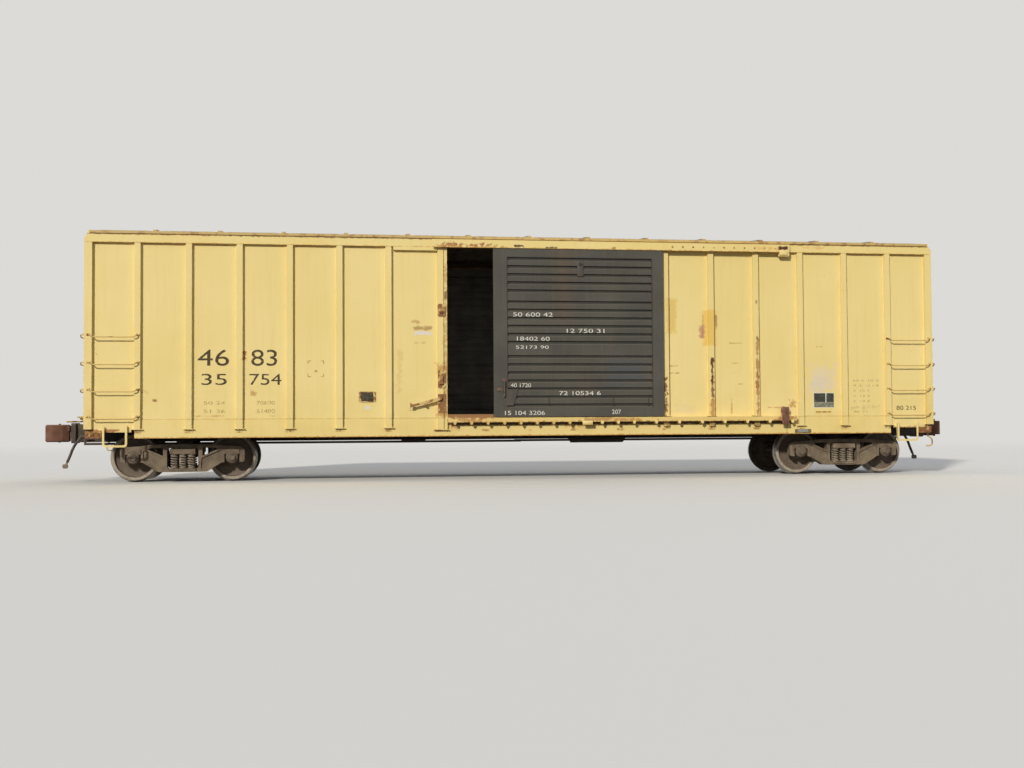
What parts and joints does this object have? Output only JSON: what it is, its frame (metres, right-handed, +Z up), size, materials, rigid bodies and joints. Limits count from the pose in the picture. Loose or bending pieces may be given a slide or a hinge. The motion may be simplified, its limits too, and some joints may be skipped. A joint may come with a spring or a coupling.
{
  "type": "railroad boxcar",
  "caption": "Standard-gauge boxcar with outside posts, sliding side doors, swivelling trucks and swinging couplers.",
  "frame": {"origin": "middle of the car at the bottom of the wheel flanges, 25.4 mm below the rail top", "axes": "+X along the car, +Y to the far side, away from the side in the picture, +Z up"},
  "size_m": [17.584, 3.256, 4.626],
  "materials": {
    "yellow_enamel": "weathered gloss enamel on steel",
    "rusty_yellow_steel": "enamel worn through to rust",
    "roof_zinc": "weathered galvanised sheet",
    "door_dark_enamel": "dusty dark enamel",
    "deck_wood": "worn oil-stained planks",
    "underframe_steel": "dusty, rusty structural steel",
    "coupler_cast": "rusty casting",
    "hose_rubber": "dusty rubber",
    "truck_cast": "dusty, rusty casting",
    "spring_steel": "rusty spring steel",
    "wheel_steel": "rusty wheel with a bright tread"
  },
  "bodies": {
    "carbody": {"air_hose_left": "hose_rubber", "air_hose_right": "hose_rubber", "air_reservoir": "underframe_steel", "body_bolsters": "underframe_steel", "brake_cylinder": "underframe_steel", "brake_housing": "rusty_yellow_steel", "brake_pipe": "underframe_steel", "brake_wheel": "rusty_yellow_steel", "centre_sill": "underframe_steel", "control_valve": "underframe_steel", "cross_bearers": "underframe_steel", "door_locks": "rusty_yellow_steel", "draft_gears": "underframe_steel", "end_grab_irons": "yellow_enamel", "end_platforms": "rusty_yellow_steel", "end_sills": "yellow_enamel", "end_wall_left": "yellow_enamel", "end_wall_right": "yellow_enamel", "floor_deck": "deck_wood", "floor_stringers": "underframe_steel", "gladhand_left": "coupler_cast", "gladhand_right": "coupler_cast", "lower_door_tracks": "rusty_yellow_steel", "roof": "roof_zinc", "side_grab_irons": "yellow_enamel", "side_plates": "yellow_enamel", "side_sills": "yellow_enamel", "side_wall_far_left": "yellow_enamel", "side_wall_far_right": "yellow_enamel", "side_wall_near_left": "yellow_enamel", "side_wall_near_right": "yellow_enamel", "sill_ends": "yellow_enamel", "sill_steps": "yellow_enamel", "uncoupling_levers": "rusty_yellow_steel", "upper_door_tracks": "yellow_enamel"},
    "coupler_left": {"coupler_left": "coupler_cast"},
    "truck_left": {"side_frames_left": "truck_cast", "truck_bolster_left": "truck_cast", "springs_left": "spring_steel", "brake_beams_left": "truck_cast"},
    "wheelset_left_outer": {"wheels_left_outer": "wheel_steel", "axle_left_outer": "wheel_steel"},
    "wheelset_left_inner": {"wheels_left_inner": "wheel_steel", "axle_left_inner": "wheel_steel"},
    "coupler_right": {"coupler_right": "coupler_cast"},
    "truck_right": {"side_frames_right": "truck_cast", "truck_bolster_right": "truck_cast", "springs_right": "spring_steel", "brake_beams_right": "truck_cast"},
    "wheelset_right_outer": {"wheels_right_outer": "wheel_steel", "axle_right_outer": "wheel_steel"},
    "wheelset_right_inner": {"wheels_right_inner": "wheel_steel", "axle_right_inner": "wheel_steel"},
    "door_near": {"door_frame_near": "door_dark_enamel", "door_panel_near": "door_dark_enamel"},
    "door_far": {"door_frame_far": "door_dark_enamel", "door_panel_far": "door_dark_enamel"}
  },
  "joints": [
    {"name": "truck_left_swivel", "type": "hinge", "parent": "carbody", "child": "truck_left", "pos_m": [-6.25, 0, 0.686], "axis": [0, 0, 1], "range_deg": [-6, 6]},
    {"name": "wheelset_left_outer_spin", "type": "hinge", "parent": "truck_left", "child": "wheelset_left_outer", "pos_m": [-7.1136, 0, 0.4445], "axis": [0, 1, 0], "continuous": true},
    {"name": "wheelset_left_inner_spin", "type": "hinge", "parent": "truck_left", "child": "wheelset_left_inner", "pos_m": [-5.3864, 0, 0.4445], "axis": [0, 1, 0], "continuous": true},
    {"name": "coupler_left_swing", "type": "hinge", "parent": "carbody", "child": "coupler_left", "pos_m": [-7.95, 0, 0.887], "axis": [0, 0, 1], "range_deg": [-7, 7]},
    {"name": "truck_right_swivel", "type": "hinge", "parent": "carbody", "child": "truck_right", "pos_m": [6.25, 0, 0.686], "axis": [0, 0, 1], "range_deg": [-6, 6]},
    {"name": "wheelset_right_outer_spin", "type": "hinge", "parent": "truck_right", "child": "wheelset_right_outer", "pos_m": [7.1136, 0, 0.4445], "axis": [0, 1, 0], "continuous": true},
    {"name": "wheelset_right_inner_spin", "type": "hinge", "parent": "truck_right", "child": "wheelset_right_inner", "pos_m": [5.3864, 0, 0.4445], "axis": [0, 1, 0], "continuous": true},
    {"name": "coupler_right_swing", "type": "hinge", "parent": "carbody", "child": "coupler_right", "pos_m": [7.95, 0, 0.887], "axis": [0, 0, 1], "range_deg": [-7, 7]},
    {"name": "door_near_slide", "type": "slide", "parent": "carbody", "child": "door_near", "axis": [1, 0, 0], "range_m": [-0.9165, 2.26]},
    {"name": "door_far_slide", "type": "slide", "parent": "carbody", "child": "door_far", "axis": [-1, 0, 0], "range_m": [0, 3.1765]}
  ]
}
